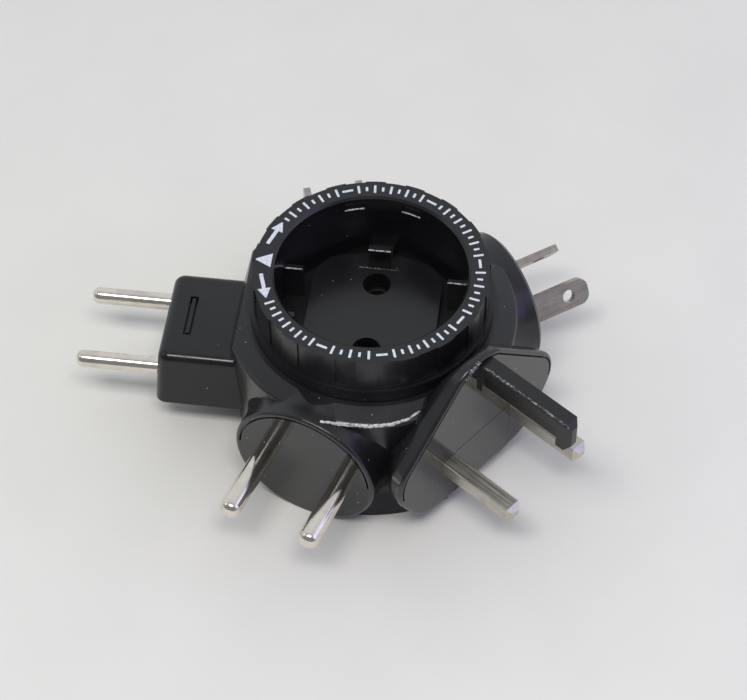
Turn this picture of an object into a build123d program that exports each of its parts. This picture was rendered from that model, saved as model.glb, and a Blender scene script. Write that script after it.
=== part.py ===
from build123d import *
import os
from math import asin, atan2, cos, degrees, radians, sin, sqrt

# Universal plug adapter: a round body with five plugs round it and a turning socket on top.
# Turning the socket to a plug connects that plug alone. Millimetres, Z up, origin on the turning
# axis at the surface that the base stands on, and the Euro plug points along minus X.

os.makedirs("parts", exist_ok=True)

# Azimuths of the five plugs, evenly spaced round the body
PLUG_COUNT = 5
PLUG_PITCH = 360.0 / PLUG_COUNT
EURO_AZ = 180.0
ROUND_AZ = EURO_AZ + PLUG_PITCH
UK_AZ = ROUND_AZ + PLUG_PITCH
TYPE_I_AZ = UK_AZ + PLUG_PITCH
US_AZ = TYPE_I_AZ + PLUG_PITCH

# Fits: parts that sit together, parts that turn, and how far a cut runs past a surface
FIT = 0.03
RUN_FIT = 0.08
CUT = 1.0

# Turning socket: the recess sets the ring, the ring sets the body
RECESS_R = 21.5
RECESS_DEPTH = 16.0
RIM_W = 4.9
RIM_CHAMFER = 0.5
RING_H = 12.0
RING_GAP = 0.4
COLLAR_PROUD = 0.8
COLLAR_H = 3.0
LAND_COUNT = 18
LAND_STEP = 0.28
LAND_LEDGE = 0.8
CUP_WALL = 2.5
CUP_FLOOR = 2.4
PLATEAU_H = 3.0
PLATEAU_X = 14.8
PLATEAU_Y = 17.8
PLATEAU_CORNER = 8.0
CLIP_RIB_Y = 6.9
CLIP_RIB_IN = 16.4
CLIP_RIB_T = 1.2
CLIP_RIB_DROP = 9.5
GUIDE_W = 5.0
GUIDE_IN = 14.3
GUIDE_H = 6.0
GUIDE_T = 1.6
GUIDE_FOOT = 2.0
SOCKET_PITCH = 19.0
SOCKET_HOLE_R = 3.2
LATCH_AZ = 17.5
LATCH_SPAN = 12.0
LATCH_H = 2.2
LATCH_DROP = 1.4
LATCH_DEPTH = 0.8

# Body: drum with a shoulder, lobes that carry the plugs and gussets beside the UK lobe
BODY_H = 33.6
SHOULDER_W = 5.6
SHOULDER_DROP = 1.5
SHOULDER_ROUND = 1.0
TOP_MARGIN = 1.2
TOP_WALL = 3.6
BODY_WALL = 3.4
PIN_PLANE = 16.5
WAIST_DRAFT = 1.6
WAIST_H = 4.5
GUSSET_PROUD = 2.4
GUSSET_SPAN = 40.0
LOBE_BLEND = 12.0
LOBE_SINK = 1.5
EDGE_ROUND = 0.8
ARCH_GROOVE_IN = 1.0
ARCH_GROOVE_W = 0.45
ARCH_GROOVE_D = 0.7
ARCH_GROOVE_FOOT = 17.5

# Euro plug: block with two 4 mm pins
EURO_PROUD = 15.2
EURO_HALF_W = 13.2
EURO_HALF_H = 7.5
EURO_CORNER = 2.6
EURO_SLOT_BACK = 6.3
EURO_SLOT_W = 1.5
EURO_SLOT_L = 11.0
EURO_SLOT_D = 1.4
EURO_PIN_R = 2.0
EURO_PIN_L = 19.0
EURO_PITCH = 19.0
EURO_TONGUE_INSET = 1.6
EURO_RELIEF_TOP = 3.9
EURO_RELIEF_FOOT = 1.4

# Plug with the round face: two 4.8 mm pins
ROUND_PROUD = 2.7
ROUND_DISC_R = 17.0
ROUND_PIN_R = 2.4
ROUND_PIN_L = 18.4
ROUND_PITCH = 19.0

# Round pins: flat left in the middle of the domed end, and thinner root held in the plastic
PIN_FLAT = 0.5
PIN_ROOT_STEP = 0.3

# UK plug: arched face, two square pins and a plastic earth pin
UK_PROUD = 1.2
UK_FACE_SHIFT = -1.7
UK_HALF_W = 28.2
UK_WIDE_RISE = 4.8
UK_FOOT_HALF_W = 17.8
UK_BELOW = 13.0
UK_UNDER_RING = 1.3
UK_TOP_HALF_W = 4.6
UK_SIDE_ROUND = 10.0
UK_TOP_ROUND = 9.0
UK_FOOT_ROUND = 11.0
UK_TOP_WALL = 2.2
UK_RING_CLEAR = 1.0
UK_RING_SINK = 0.6
UK_INNER_ROUND = 2.0
UK_SIDE_TAPER = 14.0
UK_SIDE_DEPTH = 4.6
UK_ROOT_TAPER = 48.0
UK_ROOT_DEPTH = 6.2
UK_HIP_ROUND = 5.0
UK_PIN_W = 4.0
UK_PIN_H = 4.0
UK_PIN_L = 19.6
UK_PIN_EDGE = 0.3
UK_PITCH = 22.2
UK_TIP = 1.2
UK_SEAM_RISE = 0.5
UK_SEAM_GAP = 0.2
UK_EARTH_RISE = 22.2
UK_EARTH_W = 4.0
UK_EARTH_H = 8.0
UK_EARTH_L = 25.0
UK_EARTH_ROOT = 3.0
UK_EARTH_BLOCK = 3.4
UK_EARTH_CORE = 1.6
UK_EARTH_CAP = 2.6

# Plug with slanted flat blades
TYPE_I_PROUD = 3.2
TYPE_I_DISC_R = 16.2
TYPE_I_OFFSET = 6.85
TYPE_I_SLANT = 30.0
TYPE_I_W = 6.4
TYPE_I_T = 1.6
TYPE_I_L = 17.6
TYPE_I_HOLE_R = 1.6
TYPE_I_HOLE_BACK = 5.2

# Plug with two upright blades
US_PROUD = 2.6
US_DISC_R = 16.2
US_PITCH = 12.7
US_W = 6.35
US_T = 1.5
US_L = 16.8
US_HOLE_R = 1.6
US_HOLE_BACK = 4.6
BLADE_ROUND = 2.4

# Contact strips behind the pins, and the sprung contacts that turn with the socket
STRIP_BACK_GAP = 0.6
STRIP_T = 0.8
STRIP_GAP = 0.4
STRIP_BELOW = 5.0
STRIP_ABOVE = 3.5
STRIP_LAP = 0.9
SLEEVE_IN_R = 2.45
SLEEVE_T = 0.5
SLEEVE_CLEAR = 0.25
SLEEVE_RISE = 4.0
SLEEVE_LEAD = 0.15
SLIT_W = 0.8
SLIT_FOOT = 2.5
WIPER_T = 0.8
WIPER_H = 5.0
WIPER_BELOW = 4.5
WIPER_NOSE = 1.0
WIPER_SLOT = 1.6

# Contact carrier under the socket, turning on a post of the base cover
CARRIER_WALL = 2.2
CARRIER_FLOOR = 2.3
CARRIER_GAP = 0.4
HUB_WALL = 3.3
HUB_BOTTOM = 5.0
PIVOT_R = 4.0
PIVOT_REACH = 8.0
CUP_SCREW_X = 11.0
CUP_SCREW_L = 6.0
CUP_SCREW_SEAT = 2.0
CUP_SCREW_TIP = 0.2
DETENT_NOTCH_R = 1.6
DETENT_NOTCH_OUT = 0.8
DETENT_T = 0.4
DETENT_H = 5.0
DETENT_SPAN = 34.0
DETENT_BOW = 0.6
DETENT_KNEE = 3.8

# Base cover and screws
BASE_T = 2.5
BASE_GAP = 0.05
TONGUE_FOOT = 2.0
BOSS_R = 3.0
BOSS_CLEAR = 0.5
SCREW_R = 1.3
SCREW_HEAD_R = 2.4
SCREW_HEAD_H = 1.4
SCREW_HEAD_SINK = 0.2
SCREW_L = 7.6

# Radii that follow from the sizes above
RING_R = RECESS_R + RIM_W
COLLAR_R = RING_R + COLLAR_PROUD
DRUM_R = COLLAR_R + SHOULDER_W
WAIST_R = DRUM_R - WAIST_DRAFT
CAVITY_R = DRUM_R - BODY_WALL
NECK_R = RECESS_R + CUP_WALL
CARRIER_R = NECK_R + CARRIER_WALL
STRIP_BACK_R = CAVITY_R - STRIP_BACK_GAP
STRIP_R = STRIP_BACK_R - STRIP_T
WIPER_R = STRIP_R - STRIP_GAP
SLEEVE_R = SLEEVE_IN_R + SLEEVE_T
HUB_R = SOCKET_PITCH / 2 + SLEEVE_R + SLEEVE_CLEAR + HUB_WALL
BOSS_AT = CAVITY_R - BOSS_R
EURO_FACE = DRUM_R + EURO_PROUD
ROUND_FACE = DRUM_R + ROUND_PROUD
UK_FACE = DRUM_R + UK_PROUD
TYPE_I_FACE = DRUM_R + TYPE_I_PROUD
US_FACE = DRUM_R + US_PROUD

# Heights that follow
RING_BOTTOM = BODY_H + RING_GAP
RING_TOP = RING_BOTTOM + RING_H
FLOOR_Z = RING_TOP - RECESS_DEPTH
WELL_Z = FLOOR_Z - PLATEAU_H
CUP_BOTTOM = WELL_Z - CUP_FLOOR
CARRIER_TOP = BODY_H - TOP_WALL - CARRIER_GAP
CARRIER_BOTTOM = CUP_BOTTOM - CARRIER_FLOOR
PIVOT_TOP = HUB_BOTTOM + PIVOT_REACH
SLEEVE_BOTTOM = HUB_BOTTOM + SLEEVE_RISE
STRIP_Z0 = PIN_PLANE - STRIP_BELOW
STRIP_Z1 = PIN_PLANE + STRIP_ABOVE
WIPER_Z0 = PIN_PLANE - WIPER_BELOW
BOSS_TOP = STRIP_Z0 - BOSS_CLEAR
SHOULDER_Z = BODY_H - SHOULDER_DROP
SCREW_SEAT_Z = SCREW_HEAD_SINK + SCREW_HEAD_H
SCREW_TIP_Z = SCREW_SEAT_Z + SCREW_L
UK_ABOVE = RING_TOP - PIN_PLANE - UK_UNDER_RING
EARTH_Z = PIN_PLANE + UK_EARTH_RISE
UK_SEAM_Z = PIN_PLANE + UK_PIN_H / 2 + UK_SEAM_RISE
EURO_TOP = PIN_PLANE + EURO_HALF_H

# Widths and azimuths that follow
UK_TONGUE_HALF_W = UK_PITCH / 2 - UK_PIN_W / 2
STRIP_AZ0 = degrees(asin((US_PITCH / 2 - STRIP_LAP) / STRIP_R))
STRIP_AZ1 = degrees(asin((max(UK_PITCH, SOCKET_PITCH) / 2 + STRIP_LAP) / STRIP_R))
BOSS_AZIMUTHS = [EURO_AZ + PLUG_PITCH * (k + 0.5) for k in range(PLUG_COUNT)]
SIDES = (1, -1)


def turned(shape, azimuth):
    """A shape modelled along plus X, turned to its plug's azimuth."""
    return Rot(0, 0, azimuth) * shape


def ring_solid(*points):
    """A closed profile of (radius, height) points revolved about the turning axis."""
    return revolve(Plane.XZ * make_face(Polyline(*points, close=True)), Axis.Z)


def cylinder(radius, z0, z1):
    """An upright cylinder on the turning axis between two heights."""
    return Pos(0, 0, z0) * Cylinder(radius, z1 - z0, align=(Align.CENTER, Align.CENTER, Align.MIN))


def upright(x, y, radius, z0, z1):
    """An upright cylinder standing at a point."""
    return Pos(x, y, 0) * cylinder(radius, z0, z1)


def block(x0, x1, y0, y1, z0, z1):
    """A box between two corners."""
    return Pos(x0, y0, z0) * Box(x1 - x0, y1 - y0, z1 - z0, align=(Align.MIN, Align.MIN, Align.MIN))


def along_x(section, x0, x1):
    """A section drawn in the lateral and upright directions, run along plus X."""
    return extrude(Plane.YZ.offset(x0) * section, x1 - x0)


def seated(pin):
    """A pin cut at its root so that it sits against its contact strip."""
    return pin - cylinder(STRIP_BACK_R + FIT, 0, RING_TOP)


def save(shape, node):
    """Write one node."""
    shape.label = node
    export_step(shape, os.path.join("parts", node + ".step"))


def drum_shape(extra):
    """Solid form of the round body with its rounded shoulder, and an allowance on its wall."""
    section = make_face(Polyline((0, 0), (WAIST_R + extra, 0), (WAIST_R + extra, WAIST_H),
                                 (DRUM_R + extra, SHOULDER_Z), (COLLAR_R + TOP_MARGIN, BODY_H), (0, BODY_H),
                                 close=True))
    section = fillet(section.vertices().sort_by(Axis.X)[-1], SHOULDER_ROUND)
    return revolve(Plane.XZ * section, Axis.Z)


def round_lobe(radius, face, ease):
    """Lobe with a round face, turned about the plug's axis: face edge eased, root swept out into the drum."""
    away = radius + LOBE_BLEND
    start = sqrt((DRUM_R + LOBE_BLEND - LOBE_SINK) ** 2 - away ** 2)
    sweep = JernArc((start, radius), (-1, 0), LOBE_BLEND, -degrees(atan2(start, away)))
    back = sweep @ 1
    side = Polyline((back.X, back.Y), (back.X, 0), (face, 0), (face, radius), (start, radius))
    section = make_face([sweep, side])
    section = ease(section.vertices().group_by(Axis.X)[-1].sort_by(Axis.Y)[-1], EDGE_ROUND)
    lobe = Pos(0, 0, PIN_PLANE) * revolve(Plane.XZ * section, Axis.X)
    return lobe - cylinder(EURO_FACE, BODY_H, RING_TOP)


def arch_groove(outline, face):
    """Fine groove in a plug's face just inside its outline, above the foot."""
    outer = offset(outline, -ARCH_GROOVE_IN)
    band = outer - offset(outer, -ARCH_GROOVE_W)
    groove = along_x(band, face - ARCH_GROOVE_D, face + CUT)
    return groove - block(0, EURO_FACE, -EURO_FACE, EURO_FACE, -DRUM_R, ARCH_GROOVE_FOOT)


def uk_outline():
    """Arched face of the UK plug, flat at the foot and narrow round the earth pin."""
    top = [(-UK_TOP_HALF_W, UK_ABOVE), (UK_TOP_HALF_W, UK_ABOVE)]
    foot = [(UK_FOOT_HALF_W, -UK_BELOW), (-UK_FOOT_HALF_W, -UK_BELOW)]
    corners = [*top, (UK_HALF_W, UK_WIDE_RISE), *foot, (-UK_HALF_W, UK_WIDE_RISE)]
    outline = make_face(Polyline(*corners, close=True))
    outline = fillet(outline.vertices().group_by(Axis.Y)[0], UK_FOOT_ROUND)
    outline = fillet(outline.vertices().group_by(Axis.Y)[-1], UK_TOP_ROUND)
    outline = fillet([v for v in outline.vertices() if abs(v.Y - UK_WIDE_RISE) < FIT], UK_SIDE_ROUND)
    return Pos(UK_FACE_SHIFT, PIN_PLANE) * outline


def uk_lobe():
    """Lobe of the UK plug: straight sides behind the arched face, then in to the drum, clear of the ring."""
    front = Plane.YZ.offset(UK_FACE) * uk_outline()
    sides = extrude(front, UK_SIDE_DEPTH, dir=(-1, 0, 0), taper=UK_SIDE_TAPER)
    back = sides.faces().sort_by(Axis.X)[0]
    body = sides + extrude(back, UK_ROOT_DEPTH, dir=(-1, 0, 0), taper=UK_ROOT_TAPER)
    hip = body.edges().filter_by_position(Axis.X, back.center().X - FIT, back.center().X + FIT)
    body = fillet(hip, UK_HIP_ROUND)
    body = fillet(body.faces().sort_by(Axis.X)[-1].edges(), EDGE_ROUND)
    room_z = BODY_H - UK_RING_SINK
    room_top = RING_TOP + CUT
    ring_room = ring_solid((0, room_z), (COLLAR_R + UK_RING_CLEAR, room_z), (UK_FACE - UK_TOP_WALL, room_top),
                           (0, room_top))
    wall = body - ring_room
    rims = [edge for edge in new_edges(body, ring_room, combined=wall) if edge.center().Z > BODY_H]
    return fillet(rims, UK_INNER_ROUND)


def round_pin(y, radius, face, length):
    """Round pin with a domed end and a shoulder that seats on the plug's face."""
    free = along_x(Pos(y, PIN_PLANE) * Circle(radius), face, face + length)
    free = fillet(free.faces().sort_by(Axis.X)[-1].edges(), radius - PIN_FLAT)
    root = along_x(Pos(y, PIN_PLANE) * Circle(radius - PIN_ROOT_STEP), HUB_R, face)
    return seated(free + root)


def round_pin_hole(y, radius, face):
    """Hole in the plastic for the root of a round pin."""
    return along_x(Pos(y, PIN_PLANE) * Circle(radius - PIN_ROOT_STEP + FIT), HUB_R, face + CUT)


def uk_pin(y):
    """Square pin with a bevelled end and rounded long edges."""
    pin = along_x(Pos(y, PIN_PLANE) * Rectangle(UK_PIN_W, UK_PIN_H), HUB_R, UK_FACE + UK_PIN_L)
    pin = chamfer(pin.faces().sort_by(Axis.X)[-1].edges(), UK_TIP)
    return seated(fillet(pin.edges().filter_by(Axis.X), UK_PIN_EDGE))


def uk_pin_hole(y):
    """Hole in the plastic for a square pin."""
    section = RectangleRounded(UK_PIN_W + 2 * FIT, UK_PIN_H + 2 * FIT, UK_PIN_EDGE + FIT)
    return along_x(Pos(y, PIN_PLANE) * section, HUB_R, UK_FACE + CUT)


def earth_pin():
    """Plastic earth pin, cored along one side behind a solid end, rooted in the face."""
    section = Pos(0, EARTH_Z) * Rectangle(UK_EARTH_W, UK_EARTH_H)
    pin = along_x(section, UK_FACE - UK_EARTH_ROOT, UK_FACE + UK_EARTH_L)
    pin = chamfer(pin.faces().sort_by(Axis.X)[-1].edges(), UK_TIP)
    core_end = UK_FACE + UK_EARTH_L - UK_EARTH_BLOCK
    core_top = EARTH_Z + UK_EARTH_H / 2 - UK_EARTH_CAP
    core_side = UK_EARTH_CORE - UK_EARTH_W / 2
    return pin - block(UK_FACE + EDGE_ROUND, core_end, -UK_EARTH_W, core_side, EARTH_Z - UK_EARTH_H, core_top)


def earth_pin_seat():
    """Blind seat of the earth pin in the UK face."""
    section = Rectangle(UK_EARTH_W + 2 * FIT, UK_EARTH_H + 2 * FIT)
    return along_x(Pos(0, EARTH_Z) * section, UK_FACE - UK_EARTH_ROOT - FIT, UK_FACE + CUT)


def blade(y, slant, width, thickness, tip, hole_r, hole_back):
    """Flat blade with a rounded end and a hole near it, leaning by its slant."""
    body = block(HUB_R, tip, -thickness / 2, thickness / 2, -width / 2, width / 2)
    body = fillet(body.edges().filter_by(Axis.Y).group_by(Axis.X)[-1], BLADE_ROUND)
    body -= Pos(tip - hole_back, 0, 0) * Rot(90, 0, 0) * Cylinder(hole_r, thickness + 2 * CUT)
    return seated(Pos(0, y, PIN_PLANE) * Rot(slant, 0, 0) * body)


def blade_hole(y, slant, width, thickness, face):
    """Slot in the plastic for a flat blade."""
    section = Rot(0, 0, slant) * Rectangle(thickness + 2 * FIT, width + 2 * FIT)
    return along_x(Pos(y, PIN_PLANE) * section, HUB_R, face + CUT)


def strip_pair():
    """Two curved contact strips, one behind each pin of a plug."""
    centre = Pos((STRIP_R + STRIP_BACK_R) / 2, (STRIP_Z0 + STRIP_Z1) / 2)
    section = centre * Rectangle(STRIP_T, STRIP_Z1 - STRIP_Z0)
    arc = revolve(Plane.XZ * section, Axis.Z, STRIP_AZ1 - STRIP_AZ0)
    return Compound(children=[turned(arc, STRIP_AZ0), turned(arc, -STRIP_AZ1)])


def screw(z_head, length):
    """Pan head screw pointing up from its head, with its length under the head."""
    return cylinder(SCREW_HEAD_R, z_head, z_head + SCREW_HEAD_H) + cylinder(
        SCREW_R, z_head, z_head + SCREW_HEAD_H + length)


def socket_contact(y):
    """Slit sleeve for the mating pin with a wiper arm that reaches to the contact strips."""
    sleeve = upright(0, y, SLEEVE_R, SLEEVE_BOTTOM, CARRIER_BOTTOM - FIT)
    reach = sqrt((WIPER_R - WIPER_NOSE) ** 2 - y ** 2)
    arm = block(-reach, 0, y - WIPER_T / 2, y + WIPER_T / 2, WIPER_Z0, WIPER_Z0 + WIPER_H)
    nose = upright(-reach, y, WIPER_NOSE, WIPER_Z0, WIPER_Z0 + WIPER_H)
    bore = upright(0, y, SLEEVE_IN_R, 0, RING_TOP)
    slit = block(0, SLEEVE_R + CUT, y - SLIT_W / 2, y + SLIT_W / 2, SLEEVE_BOTTOM + SLIT_FOOT, RING_TOP)
    return sleeve + arm + nose - bore - slit


def detent_spring():
    """Leaf with a bent nose, held against the body wall by its two ends."""
    end_x = (CAVITY_R - DETENT_T) * cos(radians(DETENT_SPAN / 2))
    end_y = (CAVITY_R - DETENT_T) * sin(radians(DETENT_SPAN / 2))
    nose = CARRIER_R + CARRIER_GAP + DETENT_T / 2
    knee_x = end_x - DETENT_BOW
    half = [(nose, 0), (knee_x, DETENT_KNEE), (end_x, end_y)]
    path = Polyline(*[(x, -y) for x, y in reversed(half)], *half[1:])
    return extrude(Plane.XY.offset(CARRIER_BOTTOM) * trace(path, DETENT_T), DETENT_H)


# Upper housing: drum cut down over the Euro block, with four lobes, two gussets and grooved plug faces
housing = drum_shape(0)
relief_top = DRUM_R - EURO_RELIEF_TOP
relief_foot = DRUM_R - EURO_RELIEF_FOOT
relief = make_face(Polyline((relief_top, BODY_H), (relief_foot, EURO_TOP), (EURO_FACE, EURO_TOP),
                            (EURO_FACE, RING_TOP), (relief_top, RING_TOP), close=True))
housing -= turned(extrude(Plane.XZ * relief, DRUM_R, both=True), EURO_AZ)
housing += turned(round_lobe(ROUND_DISC_R, ROUND_FACE, fillet), ROUND_AZ)
housing += turned(round_lobe(TYPE_I_DISC_R, TYPE_I_FACE, chamfer), TYPE_I_AZ)
housing += turned(round_lobe(US_DISC_R, US_FACE, chamfer), US_AZ)
housing += turned(uk_lobe(), UK_AZ)
gusset_section = make_face(Polyline((CAVITY_R, 0), (WAIST_R + GUSSET_PROUD, 0), (WAIST_R, WAIST_H),
                                    (CAVITY_R, WAIST_H), close=True))
gusset = revolve(Plane.XZ * gusset_section, Axis.Z, GUSSET_SPAN)
for valley in (UK_AZ - PLUG_PITCH / 2, UK_AZ + PLUG_PITCH / 2):
    housing += turned(gusset, valley - GUSSET_SPAN / 2)
housing -= turned(arch_groove(Pos(0, PIN_PLANE) * Circle(ROUND_DISC_R), ROUND_FACE), ROUND_AZ)
housing -= turned(arch_groove(uk_outline(), UK_FACE), UK_AZ)

# The housing is open at its foot, flat on the floor, and bored for the neck of the socket
housing -= cylinder(EURO_FACE, -DRUM_R, 0)
housing -= cylinder(CAVITY_R, -CUT, BODY_H - TOP_WALL)
housing -= cylinder(NECK_R + RUN_FIT, 0, RING_TOP)

# Screw bosses between the plugs
for azimuth in BOSS_AZIMUTHS:
    boss = upright(BOSS_AT, 0, BOSS_R, BASE_T, BOSS_TOP)
    web = block(BOSS_AT, CAVITY_R + BASE_GAP, -BOSS_R, BOSS_R, BASE_T, BOSS_TOP)
    housing += turned(boss + web, azimuth)
    housing -= turned(upright(BOSS_AT, 0, SCREW_R + FIT, 0, SCREW_TIP_Z + FIT), azimuth)

# Holes for the pins, the window for the cover's tongue and the seat of the Euro block
for side in SIDES:
    housing -= turned(round_pin_hole(side * ROUND_PITCH / 2, ROUND_PIN_R, ROUND_FACE), ROUND_AZ)
    housing -= turned(uk_pin_hole(side * UK_PITCH / 2), UK_AZ)
    type_i_hole = blade_hole(side * TYPE_I_OFFSET, side * TYPE_I_SLANT, TYPE_I_W, TYPE_I_T, TYPE_I_FACE)
    housing -= turned(type_i_hole, TYPE_I_AZ)
    housing -= turned(blade_hole(side * US_PITCH / 2, 0, US_W, US_T, US_FACE), US_AZ)
housing -= turned(earth_pin_seat(), UK_AZ)
window_top = UK_SEAM_Z + UK_SEAM_GAP
tongue_window = block(HUB_R, UK_FACE + CUT, -UK_TONGUE_HALF_W, UK_TONGUE_HALF_W, -CUT, window_top)
housing -= turned(tongue_window, UK_AZ)
euro_tongue_w = 2 * (EURO_HALF_W - EURO_TONGUE_INSET)
euro_tongue_h = 2 * (EURO_HALF_H - EURO_TONGUE_INSET)
euro_window = Pos(0, PIN_PLANE) * Rectangle(euro_tongue_w + 2 * FIT, euro_tongue_h + 2 * FIT)
housing -= turned(along_x(euro_window, HUB_R, EURO_FACE), EURO_AZ)

# Base cover: plate in the body's open foot, pivot post, and the tongue between the UK pins
cover = cylinder(CAVITY_R - BASE_GAP, 0, BASE_T)
cover += cylinder(PIVOT_R, 0, PIVOT_TOP)
tongue_w = UK_TONGUE_HALF_W - BASE_GAP
tongue_low = block(BOSS_AT - TONGUE_FOOT, UK_FACE, -tongue_w, tongue_w, 0, BOSS_TOP)
tongue_high = block(HUB_R, UK_FACE, -tongue_w, tongue_w, 0, UK_SEAM_Z)
tongue_high -= cylinder(STRIP_BACK_R + FIT, 0, RING_TOP)
below_lobe = block(CAVITY_R - BASE_GAP, UK_FACE + CUT, -UK_HALF_W, UK_HALF_W, -CUT, PIN_PLANE - UK_BELOW)
tongue = tongue_low + tongue_high - below_lobe
toe = tongue.edges().filter_by(Axis.Y).group_by(Axis.X)[-1].sort_by(Axis.Z)[0]
cover += turned(fillet(toe, EDGE_ROUND), UK_AZ)
for azimuth in BOSS_AZIMUTHS:
    cover -= turned(upright(BOSS_AT, 0, SCREW_R + FIT, -CUT, BASE_T + CUT), azimuth)
    cover -= turned(upright(BOSS_AT, 0, SCREW_HEAD_R + FIT, -CUT, SCREW_SEAT_Z), azimuth)

# Euro block: rounded block seated on the drum by a tongue through its wall
euro_section = Pos(0, PIN_PLANE) * Rectangle(2 * EURO_HALF_W, 2 * EURO_HALF_H)
euro_body = along_x(euro_section, HUB_R, EURO_FACE)
euro_body = fillet(euro_body.edges().filter_by(Axis.Z).group_by(Axis.X)[-1], EURO_CORNER)
euro_body = fillet(euro_body.faces().sort_by(Axis.Z)[-1].edges().group_by(Axis.X)[1:], EDGE_ROUND)
euro_body -= drum_shape(FIT)
euro_tongue = along_x(Pos(0, PIN_PLANE) * Rectangle(euro_tongue_w, euro_tongue_h), HUB_R, DRUM_R + CUT)
euro_body += euro_tongue - cylinder(STRIP_BACK_R + FIT, 0, RING_TOP)
for side in SIDES:
    euro_body -= round_pin_hole(side * EURO_PITCH / 2, EURO_PIN_R, EURO_FACE)
slot_x = EURO_FACE - EURO_SLOT_BACK
euro_body -= block(slot_x - EURO_SLOT_W / 2, slot_x + EURO_SLOT_W / 2, -EURO_SLOT_L / 2, EURO_SLOT_L / 2,
                   EURO_TOP - EURO_SLOT_D, EURO_TOP + CUT)

# Socket cup: grip ring on a collar, round recess and neck in one revolved profile
cup = ring_solid((0, CUP_BOTTOM), (NECK_R, CUP_BOTTOM), (NECK_R, RING_BOTTOM), (COLLAR_R, RING_BOTTOM),
                 (COLLAR_R, RING_BOTTOM + COLLAR_H), (RING_R, RING_BOTTOM + COLLAR_H), (RING_R, RING_TOP),
                 (RECESS_R + RIM_CHAMFER, RING_TOP), (RECESS_R, RING_TOP - RIM_CHAMFER), (RECESS_R, WELL_Z),
                 (0, WELL_Z))

# Grip lands round the ring: every other facet is sunk and ends on a small ledge
groove_z = RING_BOTTOM + COLLAR_H + LAND_LEDGE
groove_h = RING_TOP + CUT - groove_z
groove_section = Pos(RING_R, groove_z + groove_h / 2) * Rectangle(2 * LAND_STEP, groove_h)
groove = revolve(Plane.XZ * groove_section, Axis.Z, 180.0 / LAND_COUNT)
for k in range(LAND_COUNT):
    cup -= Rot(0, 0, 360.0 / LAND_COUNT * k) * groove

# Raised floor with rounded corners, guides at both ends of the pin line, ribs beside the clip pockets
plateau = RectangleRounded(2 * PLATEAU_X, 2 * PLATEAU_Y, PLATEAU_CORNER)
cup += extrude(Plane.XY.offset(WELL_Z) * plateau, PLATEAU_H)
bowl = cylinder((RECESS_R + NECK_R) / 2, CUP_BOTTOM, RING_TOP)
guide = block(GUIDE_IN - GUIDE_FOOT, NECK_R, -GUIDE_W / 2, GUIDE_W / 2, WELL_Z, FLOOR_Z)
guide += block(GUIDE_IN, GUIDE_IN + GUIDE_T, -GUIDE_W / 2, GUIDE_W / 2, WELL_Z, FLOOR_Z + GUIDE_H)
ribs = [block(CLIP_RIB_IN, NECK_R, end * CLIP_RIB_Y - CLIP_RIB_T / 2, end * CLIP_RIB_Y + CLIP_RIB_T / 2,
              WELL_Z, RING_TOP - CLIP_RIB_DROP) for end in SIDES]
for side in SIDES:
    cup += turned(guide & bowl, 90 * side)
    for rib in ribs:
        cup += turned(rib & bowl, 90 - 90 * side)
    cup -= upright(0, side * SOCKET_PITCH / 2, SOCKET_HOLE_R, 0, RING_TOP)

# Shallow latch pockets high on the recess wall, in pairs at both ends of the pin line
latch_section = Pos(RECESS_R, RING_TOP - LATCH_DROP - LATCH_H / 2) * Rectangle(2 * LATCH_DEPTH, LATCH_H)
latch = revolve(Plane.XZ * latch_section, Axis.Z, LATCH_SPAN)
for line in (90, 270):
    for side in SIDES:
        cup -= Rot(0, 0, line + side * LATCH_AZ - LATCH_SPAN / 2) * latch

# Contact carrier: shell round the neck, floor under the cup and a hub on the pivot post
carrier = cylinder(CARRIER_R, CARRIER_BOTTOM, CARRIER_TOP) - cylinder(NECK_R + FIT, CUP_BOTTOM, RING_TOP)
carrier += cylinder(HUB_R, HUB_BOTTOM, CARRIER_BOTTOM)
carrier -= cylinder(PIVOT_R + RUN_FIT, 0, PIVOT_TOP + CARRIER_GAP)
for side in SIDES:
    y = side * SOCKET_PITCH / 2
    carrier -= upright(0, y, SLEEVE_R + SLEEVE_CLEAR, 0, CARRIER_BOTTOM)
    carrier -= upright(0, y, SLEEVE_IN_R + SLEEVE_LEAD, 0, RING_TOP)
    carrier -= block(-HUB_R - CUT, 0, y - WIPER_SLOT / 2, y + WIPER_SLOT / 2, 0, CARRIER_BOTTOM)
for k in range(PLUG_COUNT):
    notch = upright(CARRIER_R + DETENT_NOTCH_OUT, 0, DETENT_NOTCH_R, CUP_BOTTOM, RING_TOP)
    carrier -= turned(notch, EURO_AZ + PLUG_PITCH * k)

# Screws of the carrier go up into blind holes in the socket's floor
carrier_screws = []
seat_z = CARRIER_BOTTOM - CUP_SCREW_SEAT
for side in SIDES:
    x = side * CUP_SCREW_X
    carrier -= upright(x, 0, SCREW_R + FIT, 0, RING_TOP)
    carrier -= upright(x, 0, SCREW_HEAD_R + FIT, 0, seat_z)
    cup -= upright(x, 0, SCREW_R + FIT, 0, seat_z + CUP_SCREW_L + CUP_SCREW_TIP)
    carrier_screws.append(Pos(x, 0, 0) * screw(seat_z - SCREW_HEAD_H, CUP_SCREW_L))

# Screws of the base cover go up into the bosses
base_screw = Pos(BOSS_AT, 0, 0) * screw(SCREW_HEAD_SINK, SCREW_L)
housing_screws = [turned(base_screw, azimuth) for azimuth in BOSS_AZIMUTHS]

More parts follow.
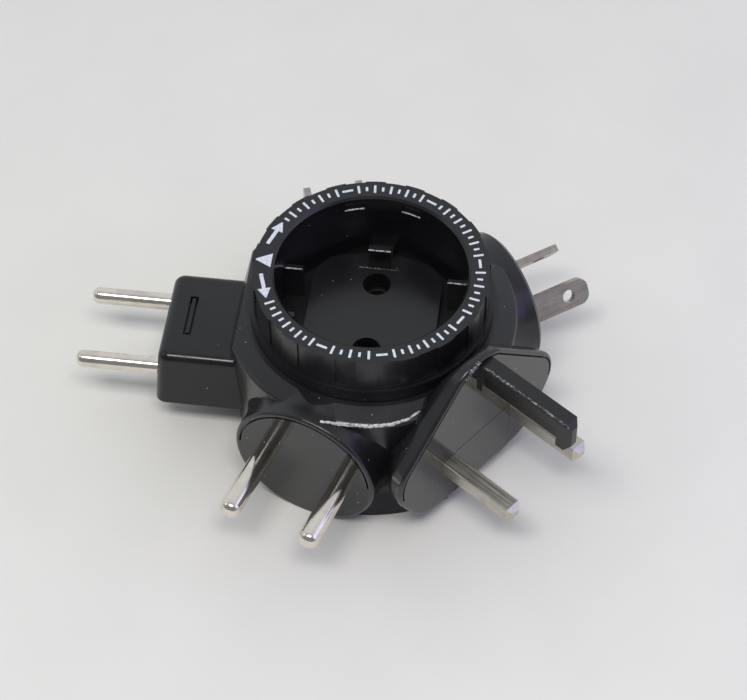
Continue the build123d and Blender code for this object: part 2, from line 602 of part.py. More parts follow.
# One file for each node
save(housing, "upper_housing")
save(cover, "base_cover")
save(Compound(children=housing_screws), "housing_screws")
save(turned(euro_body, EURO_AZ), "euro_block")
save(turned(earth_pin(), UK_AZ), "uk_earth_pin")
save(cup, "socket_cup")
save(carrier, "contact_carrier")
save(Compound(children=carrier_screws), "carrier_screws")
save(turned(detent_spring(), BOSS_AZIMUTHS[2]), "detent_spring")
for side, name in zip(SIDES, ("left", "right")):
    euro_pin = round_pin(side * EURO_PITCH / 2, EURO_PIN_R, EURO_FACE, EURO_PIN_L)
    thick_pin = round_pin(side * ROUND_PITCH / 2, ROUND_PIN_R, ROUND_FACE, ROUND_PIN_L)
    type_i_tip = TYPE_I_FACE + TYPE_I_L
    type_i_blade = blade(side * TYPE_I_OFFSET, side * TYPE_I_SLANT, TYPE_I_W, TYPE_I_T, type_i_tip,
                         TYPE_I_HOLE_R, TYPE_I_HOLE_BACK)
    us_blade = blade(side * US_PITCH / 2, 0, US_W, US_T, US_FACE + US_L, US_HOLE_R, US_HOLE_BACK)
    save(turned(euro_pin, EURO_AZ), "euro_pin_" + name)
    save(turned(thick_pin, ROUND_AZ), "round_pin_" + name)
    save(turned(type_i_blade, TYPE_I_AZ), "type_i_blade_" + name)
    save(turned(us_blade, US_AZ), "us_blade_" + name)
    save(socket_contact(side * SOCKET_PITCH / 2), "socket_contact_" + name)
for side, name in zip(SIDES, ("line", "neutral")):
    save(turned(uk_pin(side * UK_PITCH / 2), UK_AZ), "uk_pin_" + name)
plug_azimuths = {"euro": EURO_AZ, "round": ROUND_AZ, "uk": UK_AZ, "type_i": TYPE_I_AZ, "us": US_AZ}
for name, azimuth in plug_azimuths.items():
    save(turned(strip_pair(), azimuth), name + "_strips")
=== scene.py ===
from math import cos, pi, radians, sin

import bmesh
import bpy
from mathutils import Matrix, Vector


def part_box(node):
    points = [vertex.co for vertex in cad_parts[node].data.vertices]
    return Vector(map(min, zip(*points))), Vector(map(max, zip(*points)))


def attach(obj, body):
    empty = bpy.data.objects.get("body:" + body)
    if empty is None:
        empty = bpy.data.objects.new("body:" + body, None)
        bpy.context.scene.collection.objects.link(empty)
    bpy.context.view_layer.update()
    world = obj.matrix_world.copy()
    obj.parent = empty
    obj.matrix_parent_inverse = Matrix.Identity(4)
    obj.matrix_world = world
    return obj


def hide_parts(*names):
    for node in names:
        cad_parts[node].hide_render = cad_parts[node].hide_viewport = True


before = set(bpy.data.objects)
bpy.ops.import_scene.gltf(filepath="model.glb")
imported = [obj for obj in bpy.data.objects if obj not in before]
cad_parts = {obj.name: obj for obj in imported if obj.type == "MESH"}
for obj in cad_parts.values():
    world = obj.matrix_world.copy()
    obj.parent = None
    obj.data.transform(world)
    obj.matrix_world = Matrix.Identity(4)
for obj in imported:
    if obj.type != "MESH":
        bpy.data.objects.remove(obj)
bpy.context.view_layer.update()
bpy.ops.object.select_all(action="DESELECT")


# Upper housing: the black shell that carries the five plugs.
# One ABS moulding, eroded to a fine satin grain in the mould, with the plug faces left polished.
# It stands open side down over the base cover and is screwed to it from below.
MM = 0.001
HOUSING_DARK, HOUSING_LIGHT = "#17171a", "#232327"
FACE_DARK, FACE_LIGHT = "#151516", "#202021"
HOUSING_DUST, FACE_DUST = "#9c9c9d", "#b4b4b5"
CLOUD_MM, DUST_CELL_MM = 9.0, 2.0
SPECK_RIM, SPECK_CORE = 0.09, 0.05
HOUSING_SHINE, FACE_SHINE, FACE_ROUGH = 0.5, 0.78, 0.1
FACE_FADE, FACE_SKIN = 0.25, 0.05
PLUG_AZIMUTHS = {"euro": 180, "round": 252, "uk": 324, "type_i": 36, "us": 108}
PLUG_FACES = {"round": 35.5, "uk": 34.0, "type_i": 36.0, "us": 35.4}


def linear(code):
    """The linear colour that a shader takes, from an sRGB hex value."""
    shares = [int(code[k:k + 2], 16) / 255 for k in (1, 3, 5)]
    return [s / 12.92 if s <= 0.04045 else ((s + 0.055) / 1.055) ** 2.4 for s in shares] + [1.0]


def add_node(tree, kind, inputs, **settings):
    """One node with its settings; an input given as a socket is linked, any other value is set."""
    node = tree.nodes.new("ShaderNode" + kind)
    for key, value in settings.items():
        setattr(node, key, value)
    for key, value in inputs.items():
        if isinstance(value, bpy.types.NodeSocket):
            tree.links.new(value, node.inputs[key])
        else:
            node.inputs[key].default_value = value
    return node


def new_material(name):
    """An empty material with its shader and the object's own coordinates."""
    material = bpy.data.materials.new(name)
    material.use_nodes = True
    tree = material.node_tree
    place = add_node(tree, "TexCoord", {}).outputs["Object"]
    return material, tree, tree.nodes["Principled BSDF"], place


def finish_nodes(material, *names):
    """Gives CAD nodes their finish."""
    for name in names:
        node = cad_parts[name]
        for slot in node.material_slots:
            slot.material = material


def noise(tree, place, size_mm, detail):
    """Soft noise with patches of about a size."""
    return add_node(tree, "TexNoise", {"Vector": place, "Scale": 1 / (size_mm * MM), "Detail": detail}).outputs[0]


def ramp(tree, value, low, high, to_low=0.0, to_high=1.0):
    """A value taken from one range to another and held at its ends."""
    return add_node(tree, "MapRange", {"Value": value, "From Min": low, "From Max": high,
                                       "To Min": to_low, "To Max": to_high}).outputs[0]


def mix_colours(tree, share, first, second):
    """Two colours, each a hex code or a socket, mixed by a share."""
    ends = [linear(end) if isinstance(end, str) else end for end in (first, second)]
    return add_node(tree, "Mix", {0: share, 6: ends[0], 7: ends[1]}, data_type="RGBA").outputs[2]


def black_moulding(name, dark, light, rough, grain_mm, grain_depth_mm, dust, faces=()):
    """Moulded black ABS: soft patches of tone, satin grain, dust specks, and faces polished in the mould."""
    material, tree, shader, place = new_material(name)
    cloud = noise(tree, place, CLOUD_MM, 5.0)
    grain = noise(tree, place, grain_mm, 2.0)
    cells = add_node(tree, "TexVoronoi", {"Vector": place, "Scale": 1 / (DUST_CELL_MM * MM)})
    speck = ramp(tree, cells.outputs["Distance"], SPECK_RIM, SPECK_CORE)
    chance = add_node(tree, "SeparateColor", {"Color": cells.outputs["Color"]}).outputs[0]
    chosen = add_node(tree, "Math", {0: chance, 1: 1.0 - dust}, operation="GREATER_THAN").outputs[0]
    dusty = add_node(tree, "Math", {0: speck, 1: chosen}, operation="MULTIPLY").outputs[0]
    tone = mix_colours(tree, dusty, mix_colours(tree, cloud, dark, light), HOUSING_DUST)
    satin = ramp(tree, cloud, 0.3, 0.7, rough - 0.04, rough + 0.05)
    depth = ramp(tree, grain, 0.0, 1.0, 0.0, grain_depth_mm * MM)
    shine = HOUSING_SHINE
    if faces:
        face_tone = mix_colours(tree, dusty, mix_colours(tree, cloud, FACE_DARK, FACE_LIGHT), FACE_DUST)
    for azimuth, face in faces:
        outward = (cos(radians(azimuth)), sin(radians(azimuth)), 0.0)
        reach = add_node(tree, "VectorMath", {0: place, 1: outward}, operation="DOT_PRODUCT").outputs["Value"]
        on_face = ramp(tree, reach, (face - FACE_FADE) * MM, (face - FACE_SKIN) * MM)
        tone = mix_colours(tree, on_face, tone, face_tone)
        satin = add_node(tree, "Mix", {0: on_face, 2: satin, 3: FACE_ROUGH}).outputs[0]
        shine = add_node(tree, "Mix", {0: on_face, 2: shine, 3: FACE_SHINE}).outputs[0]
        depth = add_node(tree, "Mix", {0: on_face, 2: depth, 3: 0.0}).outputs[0]
    bump = add_node(tree, "Bump", {"Height": depth, "Strength": 1.0, "Distance": 1.0})
    if faces:
        tree.links.new(shine, shader.inputs["Specular IOR Level"])
    tree.links.new(tone, shader.inputs["Base Color"])
    tree.links.new(satin, shader.inputs["Roughness"])
    tree.links.new(bump.outputs[0], shader.inputs["Normal"])
    return material


# ABS gives the eye a near-black body colour under a clear, slightly soft shine.
# The grain is about 0.15 mm in the mould and is drawn at 0.5 mm so that it shows.
housing_faces = [(PLUG_AZIMUTHS[plug], face) for plug, face in PLUG_FACES.items()]
black_abs = black_moulding("black_abs_satin", HOUSING_DARK, HOUSING_LIGHT, rough=0.24, grain_mm=0.5,
                           grain_depth_mm=0.004, dust=0.3, faces=housing_faces)
finish_nodes(black_abs, "upper_housing", "base_cover")


# Flash on the housing: the thin, torn ridge of plastic that the mould leaves where its halves meet, drawn pale as a
# painted highlight for the light glinting along the edge.
# It runs along the edge of the shoulder between two plugs, and a short piece stands on the edge beside the earth pin.
RIM_FLASH = ((-7.0, -33.3, 33.1), (-4.2, -32.8, 32.4), (-1.4, -32.5, 32.05), (3.9, -32.35, 32.05),
             (8.4, -31.35, 32.15), (11.6, -29.8, 32.4), (14.0, -27.7, 32.7))
UK_EDGE_FLASH = ((23.6, -25.1, 42.2), (24.7, -23.7, 43.7), (26.2, -21.4, 44.2))
RIM_FLASH_W, UK_EDGE_FLASH_W = 0.55, 0.7
FLASH_STEP, FLASH_TEAR = 0.4, 0.3
# The pale and white flash colours are painted highlights: they stand in for the glint of light on the edges.
FLASH_DARK, FLASH_GLINT_PAINTED, FLASH_HIGHLIGHT_PAINTED = "#2c2c2d", "#a2a3a4", "#e2e3e4"
FLASH_FLECK_MM = 0.5
WELD = 0.002


def select_where(piece, parts, test):
    """Selects the vertices, edges or faces of a piece in edit mode that pass a test."""
    mesh = bmesh.from_edit_mesh(piece.data)
    bpy.ops.mesh.select_all(action="DESELECT")
    for part in getattr(mesh, parts):
        if test(part):
            part.select_set(True)
    bmesh.update_edit_mesh(piece.data)


def start_piece(name):
    """Names the new primitive, takes its scale into the mesh and opens it for editing."""
    piece = bpy.context.object
    piece.name = name
    bpy.ops.object.transform_apply(location=True, rotation=True, scale=True)
    bpy.ops.object.mode_set(mode="EDIT")
    return piece


def end_piece(piece):
    """Closes a piece: doubles merged, faces outwards, its place in its mesh."""
    bpy.ops.mesh.select_all(action="SELECT")
    bpy.ops.mesh.remove_doubles(threshold=WELD * MM)
    bpy.ops.mesh.normals_make_consistent(inside=False)
    bpy.ops.object.mode_set(mode="OBJECT")
    bpy.ops.object.transform_apply(location=True, rotation=True, scale=True)
    piece.select_set(False)


def ridge_line(name, points, width, seed):
    """A rough thin ridge laid along points on a moulding, in millimetres."""
    ends = [Vector(point) for point in points]
    tilt = (ends[1] - ends[0]).to_track_quat("Z", "Y").to_euler()
    bpy.ops.mesh.primitive_plane_add(size=width * MM, location=ends[0] * MM, rotation=tilt)
    piece = start_piece(name)
    bpy.ops.mesh.select_all(action="SELECT")
    for here, there in zip(ends, ends[1:]):
        count = max(1, round((there - here).length / FLASH_STEP))
        for _ in range(count):
            bpy.ops.mesh.extrude_region_move(TRANSFORM_OT_translate={"value": (there - here) * MM / count})
    bpy.ops.mesh.select_all(action="SELECT")
    bpy.ops.transform.vertex_random(offset=width * FLASH_TEAR * MM, seed=seed)
    end_piece(piece)
    return piece


def flash_with_painted_glint(name, painted_pale, sparse, dense):
    """Flash colour: pale specks on dark, where the pale is a painted highlight standing in for light glinting on the
    edge.
    """
    material, tree, shader, place = new_material(name)
    pale = ramp(tree, noise(tree, place, FLASH_FLECK_MM, 3.0), sparse, dense)
    tone = mix_colours(tree, pale, FLASH_DARK, painted_pale)
    tree.links.new(tone, shader.inputs["Base Color"])
    shader.inputs["Roughness"].default_value = 0.4
    return material


def lay_painted_ridge(piece, body, finish):
    """Gives a pale ridge its finish, whose pale colour is a painted highlight, and its body."""
    piece.data.materials.clear()
    piece.data.materials.append(finish)
    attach(piece, body)


# Two flash colours whose pale parts are painted highlights: a grey glint and a near white highlight.
glint_painted_abs = flash_with_painted_glint("flash_painted_glint", FLASH_GLINT_PAINTED, sparse=0.46, dense=0.68)
highlight_painted_abs = flash_with_painted_glint("flash_painted_highlight", FLASH_HIGHLIGHT_PAINTED, sparse=0.32, dense=0.52)
lay_painted_ridge(ridge_line("shoulder_flash", RIM_FLASH, RIM_FLASH_W, seed=3), "body", highlight_painted_abs)
lay_painted_ridge(ridge_line("uk_edge_flash", UK_EDGE_FLASH, UK_EDGE_FLASH_W, seed=5), "body", glint_painted_abs)


# Euro plug block: an ABS block with drafted sides and rounded edges, let into the housing with its two pins.
# The same plastic as the housing from a smoother mould, with a narrow frame sunk in its top.
PIN_PLANE = 16.5
EURO_FACE, EURO_INNER, EURO_HALF_W, EURO_HALF_H, EURO_LEAN = 48.0, 27.5, 13.4, 7.53, 0.65
EURO_CORNER, EURO_EDGE = 2.4, 2.0
EURO_PIN_SIDE, EURO_BORE_R = 9.5, 2.05
FRAME_AT, FRAME_W, FRAME_L, FRAME_D, FRAME_LINE = 41.7, 1.9, 11.3, 1.4, 0.55
SELECT_TOL = 0.01
euro_l = EURO_FACE - EURO_INNER
euro_top = (PIN_PLANE + EURO_HALF_H) * MM


def cut_away(piece, cutter):
    """Takes a cutter out of a piece and clears the cutter away."""
    cut = piece.modifiers.new("cut", "BOOLEAN")
    cut.operation, cut.solver, cut.object = "DIFFERENCE", "EXACT", cutter
    bpy.context.view_layer.objects.active = piece
    bpy.ops.object.modifier_apply(modifier=cut.name)
    bpy.data.objects.remove(cutter)


bpy.ops.mesh.primitive_cube_add(size=1, location=(-(EURO_FACE + EURO_INNER) / 2 * MM, 0, PIN_PLANE * MM))
bpy.context.object.scale = (euro_l * MM, 2 * EURO_HALF_W * MM, 2 * EURO_HALF_H * MM)
euro_plug = start_piece("euro_plug_block")
for side in (1, -1):
    select_where(euro_plug, "verts", lambda v: (v.co.z - PIN_PLANE * MM) * side > 0)
    bpy.ops.transform.resize(value=(1 - side * EURO_LEAN / euro_l, 1 - side * EURO_LEAN / EURO_HALF_W, 1),
                             center_override=(-EURO_INNER * MM, 0, PIN_PLANE * MM))
select_where(euro_plug, "edges", lambda e: max(v.co.x for v in e.verts) < -(EURO_FACE - 2) * MM
             and abs(e.verts[0].co.z - e.verts[1].co.z) > EURO_HALF_H * MM)
bpy.ops.mesh.bevel(offset=EURO_CORNER * MM, segments=6, affect="EDGES")
select_where(euro_plug, "edges", lambda e: all(v.co.z > euro_top - SELECT_TOL * MM for v in e.verts)
             and min(v.co.x for v in e.verts) < -(EURO_INNER + 1) * MM)
bpy.ops.mesh.bevel(offset=EURO_EDGE * MM, segments=6, affect="EDGES")
end_piece(euro_plug)

bpy.ops.mesh.primitive_plane_add(size=1, location=(-FRAME_AT * MM, 0, euro_top - FRAME_D * MM))
bpy.context.object.scale = (FRAME_W * MM, FRAME_L * MM, 1)
frame_cutter = start_piece("frame_cutter")
bpy.ops.mesh.select_all(action="SELECT")
bpy.ops.mesh.inset(thickness=FRAME_LINE * MM)
bpy.ops.mesh.delete(type="FACE")
bpy.ops.mesh.select_all(action="SELECT")
bpy.ops.mesh.extrude_region_move(TRANSFORM_OT_translate={"value": (0, 0, 2 * FRAME_D * MM)})
end_piece(frame_cutter)
cut_away(euro_plug, frame_cutter)
for side in (1, -1):
    bpy.ops.mesh.primitive_cylinder_add(vertices=40, radius=EURO_BORE_R * MM, depth=EURO_FACE * MM,
                                        location=(-EURO_FACE * MM, side * EURO_PIN_SIDE * MM, PIN_PLANE * MM),
                                        rotation=(0, pi / 2, 0))
    bore_cutter = start_piece("bore_cutter")
    end_piece(bore_cutter)
    cut_away(euro_plug, bore_cutter)
euro_plug.select_set(True)
bpy.ops.object.shade_smooth_by_angle(angle=radians(30))
euro_plug.select_set(False)
# A smoother mould gives a clearer shine than the housing's; the deeper black is painted shade, a darker copy of the
# housing's colour for the shade on the block's front.
euro_abs_painted_shade = black_moulding("black_abs_smooth_painted_shade", "#0f0f11", "#17171a", rough=0.2, grain_mm=0.6,
                          grain_depth_mm=0.003, dust=0.15)
euro_plug.data.materials.clear()
euro_plug.data.materials.append(euro_abs_painted_shade)
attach(euro_plug, "body")
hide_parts("euro_block")


# Earth pin of the UK plug: a solid ABS blade cored along one side, with no metal in it.
# It only opens the shutters of a socket, and its mould leaves a rough seam along one top edge.
EARTH_ROOT, EARTH_TIP, EARTH_SIDE, EARTH_TOP = 34.6, 58.4, -1.45, 42.6
EARTH_FLASH_W = 0.45
# A coarser mould gives the eye a dull black that shows its grain.
earth_abs = black_moulding("black_abs_earth_pin", "#101011", "#1c1c1c", rough=0.34, grain_mm=0.35,
                           grain_depth_mm=0.008, dust=0.15)
finish_nodes(earth_abs, "uk_earth_pin")
# The seam's flash is drawn in the grey glint colour, a painted highlight for the light along the top edge.
earth_seam = ((EARTH_ROOT, EARTH_SIDE, EARTH_TOP), (EARTH_TIP, EARTH_SIDE, EARTH_TOP))
earth_flash = ridge_line("earth_pin_flash", earth_seam, EARTH_FLASH_W, seed=7)
earth_flash.data.transform(Matrix.Rotation(radians(PLUG_AZIMUTHS["uk"]), 4, "Z"))
lay_painted_ridge(earth_flash, "body", glint_painted_abs)


# Round pins: turned brass, nickel plated and polished, moulded into the plastic at their roots.
# The plating is warm and bright, with faint streaks along the pin from plugging in and out.
STREAK_L_MM, STREAK_DEPTH_MM, WEAR_MM = 14, 0.001, 4


def plated(name, colour, shade, rough, azimuth, streak_mm):
    """Plated or plain metal with fine streaks along the plug's own direction."""
    material, tree, shader, place = new_material(name)
    along = add_node(tree, "Mapping", {"Vector": place, "Location": (0, 0, PIN_PLANE * MM),
                                       "Rotation": (0, 0, radians(azimuth)),
                                       "Scale": (STREAK_L_MM * MM, streak_mm * MM, streak_mm * MM)},
                     vector_type="TEXTURE")
    streak = add_node(tree, "TexNoise", {"Vector": along.outputs[0], "Scale": 1.0, "Detail": 3.0}).outputs[0]
    worn = ramp(tree, noise(tree, place, WEAR_MM, 4.0), 0.45, 0.75)
    tone = mix_colours(tree, worn, colour, shade)
    satin = ramp(tree, streak, 0.3, 0.7, rough * 0.7, rough * 1.4)
    depth = ramp(tree, streak, 0.0, 1.0, 0.0, STREAK_DEPTH_MM * MM)
    bump = add_node(tree, "Bump", {"Height": depth, "Strength": 0.6, "Distance": 1.0})
    shader.inputs["Metallic"].default_value = 1.0
    tree.links.new(tone, shader.inputs["Base Color"])
    tree.links.new(satin, shader.inputs["Roughness"])
    tree.links.new(bump.outputs[0], shader.inputs["Normal"])
    return material


for plug in ("euro", "round"):
    nickel = plated("nickel_plated_brass_" + plug, "#ebe5d9", "#d6cfc2", rough=0.14,
                    azimuth=PLUG_AZIMUTHS[plug], streak_mm=0.3)
    finish_nodes(nickel, plug + "_pin_left", plug + "_pin_right")


# UK pins: square brass bar, drawn, bevelled at the end and nickel plated without polish.
# The bar keeps the lengthwise marks of the drawing, so it looks greyer than the turned pins.
uk_nickel = plated("nickel_plated_bar", "#ccc8bc", "#b4b0a3", rough=0.36, azimuth=PLUG_AZIMUTHS["uk"],
                   streak_mm=0.35)
finish_nodes(uk_nickel, "uk_pin_line", "uk_pin_neutral")


# Flat blades: stamped brass strip with a hole near the end, barrel plated to a dull grey.
# The strip's rolling marks run along the blade.
for plug in ("type_i", "us"):
    dull = plated("barrel_plated_strip_" + plug, "#b3ada2", "#9d978c", rough=0.3,
                  azimuth=PLUG_AZIMUTHS[plug], streak_mm=0.25)
    finish_nodes(dull, plug + "_blade_left", plug + "_blade_right")


# Contact strips and the sprung contacts of the socket: stamped brass, left plain.
# They lie inside the body, and only the sleeves show down the socket's holes, as a warm yellow shine.
contact_brass = plated("plain_brass_strip", "#c9a25c", "#b58c48", rough=0.28, azimuth=0, streak_mm=0.3)
finish_nodes(contact_brass, "euro_strips", "round_strips", "uk_strips", "type_i_strips", "us_strips",
             "socket_contact_left", "socket_contact_right")
# The detent leaf and the screws are zinc plated steel, a cold and soft grey.
zinc_steel = plated("zinc_plated_steel", "#b4b6b8", "#9a9c9f", rough=0.3, azimuth=0, streak_mm=0.3)
finish_nodes(zinc_steel, "detent_spring", "carrier_screws")


# Housing screws: five steel screws that draw the base cover up into the housing's bosses.
# Cold headed with a cross recess and rolled with a coarse thread for plastic; only the heads show, from below.
SCREW_RING, SCREW_AZIMUTHS = 26.4, (216, 288, 0, 72, 144)
HEAD_R, HEAD_Z, HEAD_H, HEAD_ROUND = 2.4, 0.2, 1.4, 0.45
CORE_R, THREAD_R, THREADS, POINT_L, POINT_SHARE = 0.95, 1.25, 9, 0.4, 0.4
THREAD_STEPS = ((0.3, 1), (0.15, THREAD_R / CORE_R), (0.2, 1), (0.15, CORE_R / THREAD_R))
CROSS_L, CROSS_W, CROSS_D = 2.7, 0.6, 0.8


def copies_round(first, azimuths, name):
    """Copies of a piece turned to each azimuth about the turning axis, joined to one piece."""
    made = []
    for azimuth in azimuths:
        copy = first.copy()
        copy.data = first.data.copy()
        copy.data.transform(Matrix.Rotation(radians(azimuth), 4, "Z"))
        bpy.context.collection.objects.link(copy)
        made.append(copy)
    bpy.data.objects.remove(first)
    for copy in made:
        copy.select_set(True)
    bpy.context.view_layer.objects.active = made[0]
    bpy.ops.object.join()
    made[0].name = name
    made[0].select_set(False)
    return made[0]


bpy.ops.mesh.primitive_cylinder_add(vertices=32, radius=HEAD_R * MM, depth=HEAD_H * MM,
                                    location=(SCREW_RING * MM, 0, (HEAD_Z + HEAD_H / 2) * MM))
screw = start_piece("housing_screw")
select_where(screw, "edges", lambda e: all(v.co.z < (HEAD_Z + SELECT_TOL) * MM for v in e.verts))
bpy.ops.mesh.bevel(offset=HEAD_ROUND * MM, segments=3, affect="EDGES")
select_where(screw, "faces", lambda f: f.normal.z > 0.9)
bpy.ops.mesh.inset(thickness=(HEAD_R - CORE_R) * MM)
for rise, swell in THREAD_STEPS * THREADS + ((POINT_L, POINT_SHARE),):
    bpy.ops.mesh.extrude_region_move(TRANSFORM_OT_translate={"value": (0, 0, rise * MM)})
    bpy.ops.transform.resize(value=(swell, swell, 1))
end_piece(screw)
for arm in ((CROSS_L, CROSS_W), (CROSS_W, CROSS_L)):
    bpy.ops.mesh.primitive_cube_add(size=1, location=(SCREW_RING * MM, 0, HEAD_Z * MM))
    bpy.context.object.scale = (arm[0] * MM, arm[1] * MM, 2 * CROSS_D * MM)
    arm_cutter = start_piece("arm_cutter")
    end_piece(arm_cutter)
    cut_away(screw, arm_cutter)
screws = copies_round(screw, SCREW_AZIMUTHS, "housing_screw_set")
screws.data.materials.clear()
screws.data.materials.append(zinc_steel)
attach(screws, "body")
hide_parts("housing_screws")


# Turning socket: the cup with its ridged ring, one ABS moulding that turns in the housing.
# Its mould is smoother than the housing's, and the recess is deep, so its wall stays nearly black.
# Pale ridges on the edges of its guide, ribs and latch pockets, and a fine line across its floor, are painted
# highlights standing in for the glints of light on these edges.
RECESS_GLINT_W = 0.22
FLOOR_LINE = ((-4.7, 14.1, 30.0), (4.5, 14.1, 30.0))
RECESS_GLINTS = {"guide_painted_glint": ((-2.5, 14.3, 36.0), (2.5, 14.3, 36.0)),
                "rib_painted_glint_left": ((-20.4, 6.3, 36.5), (-16.4, 6.3, 36.5)),
                "rib_painted_glint_right": ((16.4, 6.3, 36.5), (20.4, 6.3, 36.5)),
                "latch_painted_glint_left": ((-8.57, 19.72, 42.4), (-6.46, 20.5, 42.4), (-4.29, 21.07, 42.4)),
                "latch_painted_glint_right": ((4.29, 21.07, 42.4), (6.46, 20.5, 42.4), (8.57, 19.72, 42.4))}
socket_abs = black_moulding("black_abs_socket", "#141417", "#1d1d21", rough=0.24, grain_mm=0.5,
                            grain_depth_mm=0.003, dust=0.06)
finish_nodes(socket_abs, "socket_cup")
lay_painted_ridge(ridge_line("recess_floor_line", FLOOR_LINE, RECESS_GLINT_W, seed=9), "socket", glint_painted_abs)
for seed, (name, points) in enumerate(RECESS_GLINTS.items(), 10):
    lay_painted_ridge(ridge_line(name, points, RECESS_GLINT_W, seed), "socket", highlight_painted_abs)
# The contact carrier screwed under the cup is the same plastic, left dull and free of dust.
inner_abs = black_moulding("black_abs_inner", "#141414", "#1e1e1e", rough=0.45, grain_mm=0.6,
                           grain_depth_mm=0.006, dust=0.0)
finish_nodes(inner_abs, "contact_carrier")


# Marks on the ring: white pad print on its flat top, cured to a film that stands just proud.
# A pointer shows the plug in use, two arrows show that the ring turns, and plain ticks run round it.
INK_T, INK_SINK, INK_CORNER = 0.04, 0.01, 0.12
INK_THIN, INK_FULL, INK_PATCH_MM = "#b9c0cc", "#dfe5ee", 0.5
MARK_R, TIP_SHARE = 24.05, 0.08
POINTER_TIP, POINTER_BASE, POINTER_HALF = 25.7, 22.2, 2.0
ARROW_L, ARROW_HEAD_L, ARROW_W, ARROW_HEAD_W = 7.0, 2.7, 0.85, 2.9
ARROW_AT, BACK_ARROW_AT = 198.0, 160.4
DASH_L, DASH_W = 2.5, 0.6
TICK_W, TICK_LONG, TICK_SHORT, TICK_STEP = 0.55, 2.3, 1.3, 4.4
DASH_AZIMUTHS = (251.0, 282.7, 330.5, 11.2, 62.9, 110.1)
TICK_SPANS = ((210, 245), (257, 276), (289, 324), (337, 365), (17, 57), (69, 104), (116, 149))
ring_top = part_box("socket_cup")[1].z


def raise_film():
    """Gives the flat mark that is being edited the thickness of the ink."""
    bpy.ops.mesh.select_all(action="SELECT")
    bpy.ops.mesh.extrude_region_move(TRANSFORM_OT_translate={"value": (0, 0, (INK_T + INK_SINK) * MM)})


def bar_mark(name, length, width):
    """A flat bar across the ring on the plus X side, raised to the ink's thickness, with eased corners."""
    bpy.ops.mesh.primitive_plane_add(size=1, location=(MARK_R * MM, 0, ring_top - INK_SINK * MM))
    bpy.context.object.scale = (length * MM, width * MM, 1)
    piece = start_piece(name)
    bpy.ops.mesh.select_all(action="SELECT")
    bpy.ops.mesh.bevel(offset=INK_CORNER * MM, segments=2, affect="VERTICES")
    raise_film()
    end_piece(piece)
    return piece


bpy.ops.mesh.primitive_plane_add(size=1, location=(-(POINTER_TIP + POINTER_BASE) / 2 * MM, 0,
                                                   ring_top - INK_SINK * MM))
bpy.context.object.scale = ((POINTER_TIP - POINTER_BASE) * MM, 2 * POINTER_HALF * MM, 1)
pointer = start_piece("ring_pointer")
select_where(pointer, "edges", lambda e: all(v.co.x < -(POINTER_TIP - 0.1) * MM for v in e.verts))
bpy.ops.transform.resize(value=(1, TIP_SHARE, 1))
raise_film()
end_piece(pointer)

bpy.ops.mesh.primitive_plane_add(size=1, location=(MARK_R * MM, -ARROW_HEAD_L / 2 * MM, ring_top - INK_SINK * MM))
bpy.context.object.scale = (ARROW_W * MM, (ARROW_L - ARROW_HEAD_L) * MM, 1)
arrow = start_piece("ring_arrow")
shaft_end = (ARROW_L - ARROW_HEAD_L) / 2 - ARROW_HEAD_L / 2
select_where(arrow, "edges", lambda e: all(v.co.y > (shaft_end - 0.1) * MM for v in e.verts))
bpy.ops.mesh.extrude_edges_move(TRANSFORM_OT_translate={"value": (0, 0, 0)})
bpy.ops.transform.resize(value=(ARROW_HEAD_W / ARROW_W, 1, 1))
bpy.ops.mesh.extrude_edges_move(TRANSFORM_OT_translate={"value": (0, ARROW_HEAD_L * MM, 0)})
bpy.ops.transform.resize(value=(TIP_SHARE, 1, 1))
raise_film()
end_piece(arrow)
back_arrow = arrow.copy()
back_arrow.data = arrow.data.copy()
back_arrow.name = "ring_arrow_back"
bpy.context.collection.objects.link(back_arrow)
back_arrow.data.transform(Matrix.Rotation(radians(BACK_ARROW_AT), 4, "Z") @ Matrix.Scale(-1, 4, (0, 1, 0)))
back_arrow.data.flip_normals()
arrow.data.transform(Matrix.Rotation(radians(ARROW_AT), 4, "Z"))

dash = bar_mark("ring_dash", DASH_W, DASH_L)
dashes = copies_round(dash, DASH_AZIMUTHS, "ring_dashes")
long_at, short_at = [], []
for first_at, last_at in TICK_SPANS:
    count = round((last_at - first_at) / TICK_STEP)
    for k in range(count + 1):
        at = first_at + (last_at - first_at) * k / count
        (long_at if k % 2 == 0 else short_at).append(at)
long_ticks = copies_round(bar_mark("ring_tick", TICK_LONG, TICK_W), long_at, "ring_long_ticks")
short_ticks = copies_round(bar_mark("ring_tick", TICK_SHORT, TICK_W), short_at, "ring_short_ticks")

# Pad print ink: a thin, slightly uneven white film with a soft shine, a touch blue beside the black.
ink, tree, shader, place = new_material("white_pad_print_ink")
cover = ramp(tree, noise(tree, place, INK_PATCH_MM, 3.0), 0.25, 0.6)
tree.links.new(mix_colours(tree, cover, INK_THIN, INK_FULL), shader.inputs["Base Color"])
shader.inputs["Roughness"].default_value = 0.45
for piece in (pointer, arrow, back_arrow, dashes, long_ticks, short_ticks):
    piece.data.materials.clear()
    piece.data.materials.append(ink)
    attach(piece, "socket")


# Floor: a plain pale sheet of foam, matt, with only a faint unevenness of tone.
FLOOR_M, FLOOR_PATCH_MM = 6, 30
FLOOR_DARK, FLOOR_LIGHT = "#e3e2de", "#edece8"
bpy.ops.mesh.primitive_plane_add(size=FLOOR_M, location=(0, 0, 0))
floor = bpy.context.object
floor.name = "floor"
sheet, tree, shader, place = new_material("pale_foam_sheet")
patch = noise(tree, place, FLOOR_PATCH_MM, 4.0)
tree.links.new(mix_colours(tree, patch, FLOOR_DARK, FLOOR_LIGHT), shader.inputs["Base Color"])
shader.inputs["Roughness"].default_value = 0.7
floor.data.materials.append(sheet)
floor.select_set(False)


# Light: a wide soft box overhead, a faint one to the left and a lilac one to the right.
# The surround is pale, and brighter behind the object than in front of it.
SURROUND_FRONT, SURROUND_BACK, SURROUND_STRENGTH = "#8a8d92", "#e6e9ee", 0.88
AIM_Z = 20


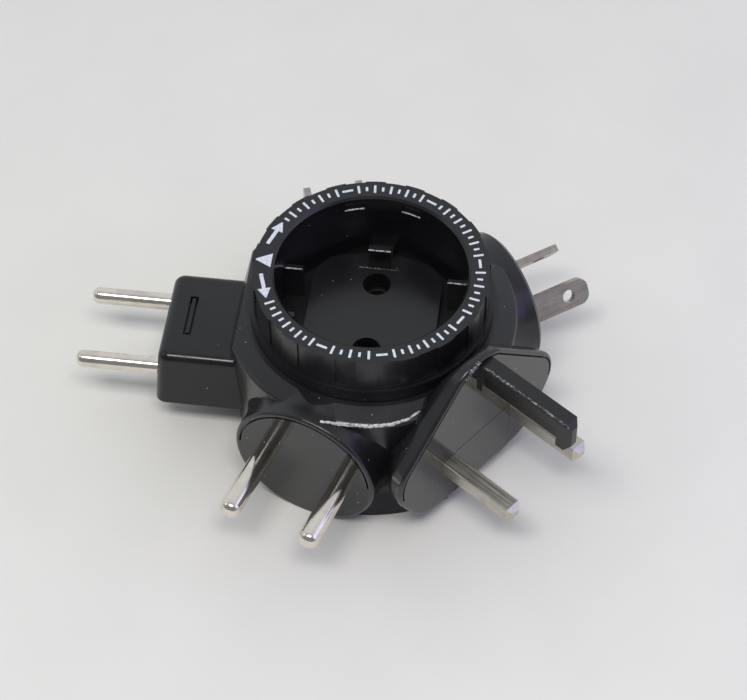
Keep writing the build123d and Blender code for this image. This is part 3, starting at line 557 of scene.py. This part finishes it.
def soft_box(name, place_mm, width_mm, height_mm, watts, colour):
    """A soft box that faces the object."""
    light = bpy.data.lights.new(name, "AREA")
    light.shape = "RECTANGLE"
    light.size, light.size_y = width_mm * MM, height_mm * MM
    light.energy = watts
    light.color = linear(colour)[:3]
    box = bpy.data.objects.new(name, light)
    box.location = Vector(place_mm) * MM
    box.rotation_euler = (Vector((0, 0, AIM_Z * MM)) - box.location).to_track_quat("-Z", "Y").to_euler()
    bpy.context.collection.objects.link(box)


soft_box("box_top", (-20, -390, 920), width_mm=620, height_mm=200, watts=4.8, colour="#fffdf8")
soft_box("box_left", (-640, -60, 480), width_mm=300, height_mm=300, watts=0.2, colour="#fffaf4")
soft_box("box_right", (612, -86, 329), width_mm=480, height_mm=480, watts=0.8, colour="#c4b8ff")
world = bpy.data.worlds.new("surround")
bpy.context.scene.world = world
world.use_nodes = True
tree = world.node_tree
surround = tree.nodes["Background"]
ways = add_node(tree, "SeparateXYZ", {0: add_node(tree, "TexCoord", {}).outputs["Generated"]}).outputs["Y"]
behind = ramp(tree, ways, -0.5, 0.5)
tree.links.new(mix_colours(tree, behind, SURROUND_FRONT, SURROUND_BACK), surround.inputs["Color"])
surround.inputs["Strength"].default_value = SURROUND_STRENGTH


# Camera: above the front of the adapter, looking down at about 51 degrees.
LENS_MM, SENSOR_MM = 115.68, 36.0
CAMERA_AT = (0.0457, -0.34121, 0.44689)
CAMERA_TURN, CAMERA_TILT, CAMERA_ROLL = 7.57, 38.74, -0.39
lens = bpy.data.cameras.new("camera")
lens.lens, lens.sensor_width = LENS_MM, SENSOR_MM
lens.clip_start, lens.clip_end = 0.01, 20.0
camera = bpy.data.objects.new("camera", lens)
turn = (Matrix.Rotation(radians(CAMERA_TURN), 4, "Z") @ Matrix.Rotation(radians(CAMERA_TILT), 4, "X")
        @ Matrix.Rotation(radians(CAMERA_ROLL), 4, "Z"))
camera.matrix_world = Matrix.Translation(CAMERA_AT) @ turn
bpy.context.collection.objects.link(camera)
bpy.context.scene.camera = camera
bpy.context.scene.view_settings.view_transform = "Standard"
